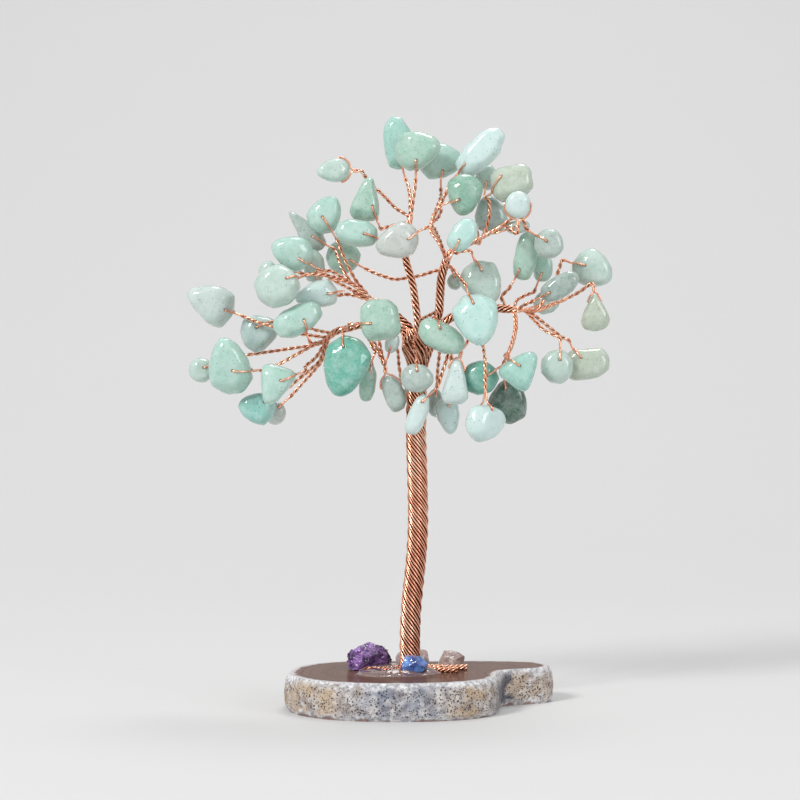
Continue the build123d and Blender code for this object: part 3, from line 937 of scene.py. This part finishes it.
# Points that a twig passes instead of its CAD route, in millimetres from the trunk's crown. A twig
# without points goes straight to the nearest branch or limb.
twig_detours = {
    ("middle", 4): ((-0.4, -6.6, 3.0), (-0.8, -4.4, 5.0), (-1.2, -2.4, 6.4)),
    ("middle", 2): (), ("middle_right", 0): (), ("middle_right", 3): (), ("right", 3): (),
    ("upper_right", 0): (), ("right_low", 2): (),
}


def twig_row(twig, loop_line, detour):
    """The line of a twig from its loop to its root, with its sides, overs and runs."""
    ends = (loop_line[0] + loop_line[-1]) / 2
    line = outward(twig.bar_line(twig_bar_sides), ends)[::-1]
    if detour:
        line = np.vstack([line[:1]] + [crown + np.array(step) * mm for step in detour])
    else:
        line = rooted(line if detour is None else line[:1])
    line = rounded(line, bend_cut, wire_step)
    return line, *lay_frames(line, loop_line[0] - loop_line[-1]), run_along(line)


def loop_on_stone(loop_line, start, end, pebble, swing):
    """A loop's line drawn on to its pebble and, where the chip swings, clear of its swing."""
    skin = BVHTree.FromPolygons([vertex.co for vertex in pebble.vertices],
                                [face.vertices for face in pebble.polygons])
    line = hugging(even_points(loop_line, loop_step), start, end, skin)
    line = even_points(relaxed(line, hug_passes), loop_step)
    if swing:
        line = cleared(line, start, end, skin, swing)
        line = cleared(relaxed(line, clear_passes), start, end, skin, swing)
    line[0], line[-1] = loop_line[0], loop_line[-1]
    return line


def make_chips(name, wires, chips, tint_names, swing=0):
    """Pebbles of a list of chips, and the rows of their twigs and loops."""
    pebbles, twigs, loops = [], [], []
    for number, (solid, tint) in enumerate(zip(chips, tint_names)):
        passes = slender_passes if slender(solid) else chip_passes
        pebble = smooth_pebble(name, solid, chip_voxel, passes)
        filled_out(pebble, solid)
        dimpled(pebble, number + len(name))
        twig, loop = wires[2 * number:2 * number + 2]
        loop_line = loop.bar_line(loop_bar_sides)
        start, end = bore_ends(loop_line, solid)
        twigs.append(twig_row(twig, loop_line, twig_detours.get((name, number))))
        loops.append((loop_on_stone(loop_line, start, end, pebble, swing),))
        pebble = bored(name, pebble, start, end)
        tinted(pebble, tint)
        pebbles.append(pebble)
    return pebbles, twigs, loops


def wire_mesh(name, twigs, loops):
    """One mesh of twisted twigs and of the loops at their ends."""
    # The twisted pairs get painted shade in the groove between their two wires.
    low, high = pair_painted_shade_range
    pairs = grown(name, twigs, laid_wires, wires=2, lay_radius=pair_radius, lay_length=-pair_lay,
                  groove_low=low, groove_high=high)
    return joined(name, [pairs, grown(name, loops, single_wire)])


for spray, names in spray_tints.items():
    pebbles, twigs, loops = make_chips(spray, solids_of(spray + "_wires"),
                                       solids_of(spray + "_chips"), names.split())
    piece("tumbled_chips_" + spray, joined(spray, pebbles), [spray + "_chips"], [aventurine])
    piece("twisted_twigs_" + spray, wire_mesh(spray, twigs, loops), [spray + "_wires"])

loose_wires = solids_of("swinging_chip_wires")
loose_lines = [loop.bar_line(loop_bar_sides) for loop in loose_wires[1::2]]
loose_twigs, loose_loops = [], []
for name, tint in swinging_tints.items():
    solid = solids_of(name)[0]
    middle = solid.points.mean(axis=0)
    number = int(np.argmin([np.linalg.norm(line - middle, axis=1).min() for line in loose_lines]))
    pebbles, twigs, loops = make_chips(name, loose_wires[2 * number:2 * number + 2], [solid],
                                       [tint], swing_room)
    piece("tumbled_" + name, pebbles[0], [name], [aventurine], name)
    loose_twigs += twigs
    loose_loops += loops
piece("twisted_twigs_swinging", wire_mesh("swinging", loose_twigs, loose_loops),
      ["swinging_chip_wires"])


# Trunk, branches, limbs and roots
def core_mesh(name, line, diameter, sides):
    """Bar inside a bundle, seen between its wires, in copper darkened as painted shade."""
    return grown(name, [(even_points(line, branch_step),)], single_wire, wire_diameter=diameter,
                 sides=sides, finish=painted_shade_copper)


def make_trunk():
    """Wires laid into the trunk, which loosen and bulge at its head."""
    foot = even_points(trunk_line, trunk_step)
    head = even_points(np.vstack([head_line, head_line[-1] + (0, 0, head_rise)]), trunk_step)[1:]
    share = np.linspace(0, 1, len(head) + 1)[1:]
    head = head + np.outer(share ** 2, np.array(head_lean))
    line = np.vstack([foot, head])
    stations, across, deep = np.array(head_bulge).T
    rows = [line]
    for sizes, way in ((across, (1, 0, 0)), (deep, (0, 1, 0))):
        size = np.concatenate([np.ones(len(foot)), np.interp(share, stations, sizes)])
        rows.append(np.outer(size, way))
    run = run_along(line)
    foot_run = run[len(foot) - 1]
    run = np.where(run > foot_run, foot_run + (run - foot_run) * head_slack, run)
    wires = grown("trunk", [(*rows, run)], laid_wires, wires=trunk_wires,
                  lay_radius=trunk_radius, lay_length=-trunk_lay, lobes=trunk_lobes,
                  lobe_depth=trunk_lobe_depth, unevenness=trunk_unevenness, seed=trunk_seed)
    core = core_mesh("trunk_core", foot[:-trunk_core_steps_short], 2 * trunk_core_radius,
                     trunk_core_sides)
    piece("laid_trunk", joined("laid_trunk", [wires, core]), ["trunk_bundle", "trunk_fork"])


def bundle(name, line, count, radius, lay, tip, seed):
    """Wires laid round a line that starts at its tip, where their lay has another size."""
    side, over = lay_frames(line, np.array(bundle_side))
    run = run_along(line)
    size = (tip + (1 - tip) * np.clip(run / tip_run, 0, 1))[:, None]
    return grown(name, [(line, side * size, over * size, run)], laid_wires, wires=count,
                 lay_radius=radius, lay_length=-lay, unevenness=bundle_unevenness, seed=seed)


def make_branches():
    """Branches, whose wires run down into the trunk's head."""
    for number, (name, (count, radius)) in enumerate(branch_bundles.items()):
        line = shafts[name]
        inward = crown + (line[-1] - crown) * np.array(branch_inset) - (0, 0, branch_sink)
        line = rounded(np.vstack([line, [inward]]), bend_cut, branch_step)
        wires = bundle(name, line, count, radius, branch_lay, branch_tip, branch_seed + number)
        core = core_mesh(name, line[round(tip_run / branch_step):],
                         2 * radius - branch_core_slack, branch_core_sides)
        piece("laid_" + name, joined(name, [wires, core]), [name])


def make_limbs_and_roots():
    """Limbs, and cut ends of the trunk's wires that lie on the slab."""
    kinds = (("limb_", limb_bundle, limb_seed), ("root_", root_bundle, root_seed))
    for start, shape, seed in kinds:
        for number, name in enumerate(sorted(node for node in nodes if node.startswith(start))):
            if name in shafts:
                line = rooted(shafts[name], name)
            else:
                line = outward(solids_of(name)[0].bar_line(branch_bar_sides), trunk_line[0])
            wires = bundle(name, rounded(line, bend_cut, wire_step), *shape, seed + number)
            piece("laid_" + name, wires, [name])


make_trunk()
make_branches()
make_limbs_and_roots()


# Slab
def ring_radii(points, height, angles):
    """How far a level ring of the slab reaches at each angle."""
    ring = points[np.abs(points[:, 2] - height) < level_play]
    turn = np.arctan2(ring[:, 1], ring[:, 0])
    order = np.argsort(turn)
    reach = np.hypot(ring[:, 0], ring[:, 1])
    return np.interp(angles, turn[order], reach[order], period=full_turn)


def polished_agate():
    """Brown polished face with faint bands that follow the rim, and a pale ragged rim."""
    finish = Finish("polished_agate", IOR=1.54, Specular_IOR_Level=0.004)
    depth = finish.attribute("rim_depth")
    banded = finish.math("ADD", depth, finish.times(finish.noise(160.0, 4.0), 3.5 * mm))
    wave = finish.add("ShaderNodeTexNoise", noise_dimensions="1D", W=banded, Scale=1300.0,
                      Detail=3.0)
    brown = finish.ramp(wave.outputs[0], ((0.3, (0.34, 0.24, 0.21)), (0.5, (0.42, 0.31, 0.27)),
                                          (0.62, (0.47, 0.35, 0.30)), (0.75, (0.37, 0.27, 0.24))))
    ragged = finish.math("ADD", depth, finish.times(finish.noise(420.0, 6.0), -2.4 * mm))
    rim = finish.ranged(ragged, -0.3 * mm, 0.5 * mm, 1, 0)
    pale = finish.mix(finish.noise(600.0), (0.68, 0.66, 0.66), (0.88, 0.87, 0.87))
    finish.colour(finish.mix(rim, brown, pale))
    finish.roughness(finish.ranged(rim, 0, 1, 0.14, 0.5))
    finish.bump(finish.times(rim, finish.noise(1500.0)), 0.3, 0.15 * mm)
    return finish.material


def agate_rind():
    """Rough rind: beige, with ochre and blue-grey patches and many dark grains."""
    finish = Finish("agate_rind", Roughness=0.62, IOR=1.5)
    height = finish.math("ADD", finish.attribute("height_share"),
                         finish.ranged(finish.noise(260.0, 6.0), 0.3, 0.7, -0.1, 0.1))
    split = finish.add("ShaderNodeSeparateXYZ", finish.place)
    wander = finish.ranged(finish.noise(130.0), 0.3, 0.7, -0.04, 0.04)
    across = finish.math("ADD", wander,
                         finish.ranged(split.outputs[0], -34 * mm, 36 * mm, 0, 1))
    ochre = finish.mask(across, ((0, 0.25), (0.1, 0.9), (0.22, 0.8), (0.31, 0), (0.58, 0),
                                 (0.66, 0.85), (0.74, 0.9), (0.79, 0.1), (0.88, 0.7), (1, 0.2)))
    blue = finish.mask(across, ((0.26, 0), (0.35, 0.9), (0.42, 0.5), (0.47, 0.35), (0.54, 0.75),
                                (0.61, 0), (0.75, 0), (0.8, 0.3), (0.86, 0.1), (0.89, 0)))
    dark_patch = finish.mask(across, ((0.8, 0), (0.825, 0.9), (0.85, 0.95), (0.87, 0)))
    base = finish.mix(finish.ranged(finish.noise(520.0, 8.0), 0.36, 0.64, 0, 1),
                      (0.55, 0.52, 0.52), (0.86, 0.84, 0.83))
    uneven = finish.group(cloud, Scale=190.0, Low=0.32, High=0.56)
    body = finish.mix(finish.times(ochre, uneven), base, (0.73, 0.63, 0.51))
    body = finish.mix(finish.times(finish.times(blue, uneven), 0.85), body, (0.37, 0.43, 0.53))
    body = finish.mix(finish.times(dark_patch, 0.85), body, (0.17, 0.19, 0.28))
    middle = finish.mask(height, ((0.0, 0.0), (0.07, 0.15), (0.18, 1.0), (0.78, 1.0),
                                  (0.92, 0.2), (1.0, 0.0)))
    grains = finish.group(specks, Scale=1150.0, Size=0.27, Spread=0.45)
    small = finish.group(specks, Scale=2100.0, Size=0.33, Spread=0.46)
    dark = finish.times(finish.math("MAXIMUM", grains, small), middle)
    edge = finish.mix(finish.ranged(finish.noise(1000.0, 6.0), 0.4, 0.6, 0, 1),
                      (0.64, 0.64, 0.66), (0.92, 0.92, 0.93))
    speckled = finish.mix(finish.times(dark, 0.9), finish.mix(middle, edge, body),
                          (0.11, 0.11, 0.18))
    foot = finish.ranged(height, 0.0, 0.07, 1, 0)
    finish.colour(finish.mix(finish.times(foot, 0.75), speckled, (0.50, 0.34, 0.29)))
    grit = finish.math("SUBTRACT", finish.noise(1100.0, 6.0), finish.times(dark, 0.4))
    finish.bump(grit, 0.7, 0.4 * mm)
    return finish.material


def make_slab():
    """Slab with a flat polished top, a flat underside and a rough rounded rind."""
    points = solids_of("agate_slab")[0].points
    heights = sorted({round(height, 6) for height in points[:, 2]})
    angles = np.linspace(-math.pi, math.pi, slab_spokes, endpoint=False)
    rings = []
    for height in heights:
        radii = ring_radii(points, height, angles)
        soft = sum(np.roll(radii, shift) for shift in rim_blend) / len(rim_blend)
        rings.append(np.minimum(radii, soft))
    rings = np.array(rings)
    rims = []
    for level in range(slab_levels + 1):
        share = level / slab_levels
        bulge = math.sin(math.pi * share) ** 0.5
        rim = []
        for angle, column in zip(angles, rings.T):
            way = Vector((math.cos(angle), math.sin(angle), 0))
            spot = way * np.interp(slab_top * share, heights, column)
            spot.z = slab_top * share
            rough = abs(noise.fractal(spot / rind_grain, *rind_fractal)) * bulge
            lump = max(0, noise.noise(spot / rind_lump))
            pressed = np.dot(rind_shares, (1, rough, lump))
            rim.append(spot - way * rind_roughness * pressed)
        rims.append(rim)

    # Rings from the underside's middle round the rind to the top's, each a share of a rim's size
    sizes = [1 - (step / slab_rings) ** ring_crowding for step in range(1, slab_rings)]
    stack = [(size, 0) for size in reversed(sizes)]
    stack += [(1, level) for level in range(slab_levels + 1)]
    stack += [(size, slab_levels) for size in sizes]
    made, depths, shares, faces, kinds = [], [], [], [], []
    for size, level in stack:
        for spot in rims[level]:
            made.append((spot.x * size, spot.y * size, spot.z))
            depths.append(spot.to_2d().length * (1 - size))
            shares.append(level / slab_levels)
    count = len(made)
    for corner in range(count - slab_spokes):
        beside = corner + 1 - (0 if (corner + 1) % slab_spokes else slab_spokes)
        faces.append((corner, beside, beside + slab_spokes, corner + slab_spokes))
        ring = corner // slab_spokes
        kinds.append(int(stack[ring][0] == stack[ring + 1][0]))
    for first, height, share in ((0, 0, 0), (count - slab_spokes, slab_top, 1)):
        centre = len(made)
        made.append((0, 0, height))
        depths.append(depths[first])
        shares.append(share)
        for spoke in range(slab_spokes):
            pair = (first + spoke, first + (spoke + 1) % slab_spokes)
            faces.append((*(pair if share else pair[::-1]), centre))
            kinds.append(0)
    mesh = mesh_from("slab", made, faces)
    mesh.polygons.foreach_set("material_index", kinds)
    marked(mesh, "rim_depth", "FLOAT", depths)
    marked(mesh, "height_share", "FLOAT", shares)
    mesh.shade_smooth()
    mesh.set_sharp_from_angle(angle=rim_sharpness)
    piece("agate_slab_cut", mesh, ["agate_slab"], [polished_agate(), agate_rind()])


make_slab()


# Stones and glue at the foot
def broken(name, solid, voxel, cuts, seed, roughness):
    """A solid's hull broken by flat cuts, with a rough surface."""
    mesh = smooth_pebble(name, solid, voxel, break_passes)
    random = np.random.default_rng(seed)
    middle = Vector(solid.points.mean(axis=0))
    for _ in range(cuts):
        way = Vector(random.normal(size=3)).normalized()
        if way.z < break_lowest:
            way.z = -way.z
        reach = max((vertex.co - middle).dot(way) for vertex in mesh.vertices)
        limit = reach * random.uniform(*break_depths)
        for vertex in mesh.vertices:
            beyond = (vertex.co - middle).dot(way) - limit
            if beyond > 0:
                vertex.co -= way * beyond
    mesh.update()
    for vertex in mesh.vertices:
        wave = noise.fractal(vertex.co / break_grain + Vector((seed, 0, 0)), *break_fractal)
        vertex.co -= vertex.normal * roughness * abs(wave)
    mesh.update()
    filled_out(mesh, solid, break_fill)
    mesh.shade_smooth()
    mesh.set_sharp_from_angle(angle=break_sharpness)
    return mesh


def crystal(name, dark, light, **values):
    """Clear to cloudy coloured stone."""
    finish = Finish(name, IOR=1.54, Coat_Weight=0.5, Coat_Roughness=0.03, **values)
    veins = finish.group(cloud, Scale=330.0, Low=0.38, High=0.66)
    finish.colour(finish.mix(veins, dark, light))
    finish.bump(finish.noise(1400.0, 4.0), 0.3, 0.1 * mm)
    return finish.material


def make_stones():
    """The four rough stones round the foot."""
    amethyst = crystal("rough_amethyst", (0.26, 0.12, 0.36), (0.66, 0.48, 0.78), Roughness=0.1,
                       Transmission_Weight=0.15, Subsurface_Weight=0.1, Subsurface_Scale=1 * mm)
    blue = crystal("blue_sodalite", (0.10, 0.20, 0.48), (0.42, 0.60, 0.88), Roughness=0.14)
    smoky = crystal("smoky_quartz", (0.66, 0.56, 0.54), (0.86, 0.80, 0.77), Roughness=0.12,
                    Transmission_Weight=0.3, Subsurface_Weight=0.3, Subsurface_Scale=2 * mm)
    rose = crystal("rose_quartz", (0.80, 0.68, 0.68), (0.92, 0.86, 0.85), Roughness=0.1,
                   Transmission_Weight=0.35, Subsurface_Weight=0.3, Subsurface_Scale=2 * mm)
    rows = (("amethyst_chip", "amethyst", amethyst, 0.2 * mm, 26, 5, 0.5 * mm),
            ("sodalite_chip", "sodalite", blue, 0.18 * mm, 12, 8, 0.12 * mm),
            ("smoky_quartz_chip", "smoky_quartz", smoky, 0.2 * mm, 20, 12, 0.3 * mm),
            ("rose_quartz_chip", "rose_quartz", rose, 0.22 * mm, 10, 15, 0.1 * mm))
    for name, slot, material, voxel, cuts, seed, roughness in rows:
        mesh = broken(name, solids_of(name)[0], voxel, cuts, seed, roughness)
        piece("rough_" + name, mesh, [name], [material])


def make_glue():
    """Clear glue that has set round the foot."""
    source = solids_of("glue_pool")[0]
    pool = mesh_from("glue", source.points, source.triangles)
    mesh = worn_round("glue", pool, glue_voxel, glue_passes)
    front = solids_of("sodalite_chip")[0].points[:, 1].min() - glue_clearance
    for vertex in mesh.vertices:
        if vertex.co.y < front:
            spread = glue_spread + glue_wander * noise.noise(vertex.co / glue_wave)
            vertex.co.y = front + (vertex.co.y - front) * spread
        if vertex.co.z > slab_top + glue_clearance:
            wave = abs(noise.noise(vertex.co / glue_ripple))
            vertex.co.z += glue_lift - glue_dip * wave
    mesh.update()
    mesh.shade_smooth()
    finish = Finish("clear_glue", Roughness=0.05, IOR=1.47, Transmission_Weight=0.55,
                    Coat_Weight=0.8, Coat_Roughness=0.03,
                    Base_Color=(*linear((0.66, 0.53, 0.51)), 1))
    finish.bump(finish.noise(500.0), 0.35, 0.3 * mm)
    piece("set_glue", mesh, ["glue_pool"], [finish.material])


make_stones()
make_glue()

# Camera, world, floor and lamps
camera_data = bpy.data.cameras.new("camera")
camera_data.lens = 94.4
camera_data.sensor_width = 36
camera = placed("camera", camera_data)
camera.location = (-2.48 * mm, -520.4 * mm, 76.0 * mm)
camera.rotation_euler = (math.pi / 2, 0, 0)
bpy.context.scene.camera = camera

# Strength of the world as light, and as it is seen in the camera, in a gloss or through glass
world_light = 0.56
world_seen = 0.8
world = bpy.data.worlds.new("studio")
world.use_nodes = True
sky = Wiring(world.node_tree)
rays = sky.add("ShaderNodeLightPath").outputs
seen = rays["Is Camera Ray"]
for label in ("Is Glossy Ray", "Is Transmission Ray"):
    seen = sky.math("MAXIMUM", seen, rays[label])
strength = sky.add("ShaderNodeMapRange", seen, To_Min=world_light, To_Max=world_seen)
background = world.node_tree.nodes["Background"]
sky.put((1, 1, 1, 1), background.inputs["Color"])
sky.put(strength.outputs[0], background.inputs["Strength"])
bpy.context.scene.world = world
bpy.context.scene.view_settings.view_transform = "Standard"


def sweep_floor():
    """Pale floor that curves up behind the object."""
    front, depth, rise, bend, half, bend_steps = -1.5, 1.3, 1.6, 1.0, 2.5, 12
    profile = [(front, 0.0), (depth - bend, 0.0)]
    for angle in np.linspace(0, math.pi / 2, bend_steps + 1)[1:]:
        profile.append((depth - bend + bend * math.sin(angle), bend - bend * math.cos(angle)))
    profile.append((depth, rise))
    points = [(x, y, z) for y, z in profile for x in (-half, half)]
    faces = [(2 * i, 2 * i + 1, 2 * i + 3, 2 * i + 2) for i in range(len(profile) - 1)]
    mesh = mesh_from("floor", points, faces)
    mesh.shade_smooth()
    floor = placed("floor", mesh)
    mesh.materials.append(Finish("pale_floor", Roughness=0.9,
                                 Base_Color=(0.66, 0.66, 0.66, 1)).material)


lamp_target = (0, 0, 0.08)


def soft_lamp(name, place, size, power):
    """Round soft lamp that faces the tree."""
    data = bpy.data.lights.new(name, "AREA")
    data.shape = "DISK"
    data.size = size
    data.energy = power
    lamp = placed(name, data)
    lamp.location = place
    way = Vector(lamp_target) - Vector(place)
    lamp.rotation_euler = way.to_track_quat("-Z", "Y").to_euler()


sweep_floor()
soft_lamp("key", (-0.9, -1.0, 1.05), 0.45, 16.5)
soft_lamp("fill", (1.1, -0.9, 0.5), 0.7, 4.3)
soft_lamp("top", (0.2, 0.5, 1.4), 0.6, 5.2)
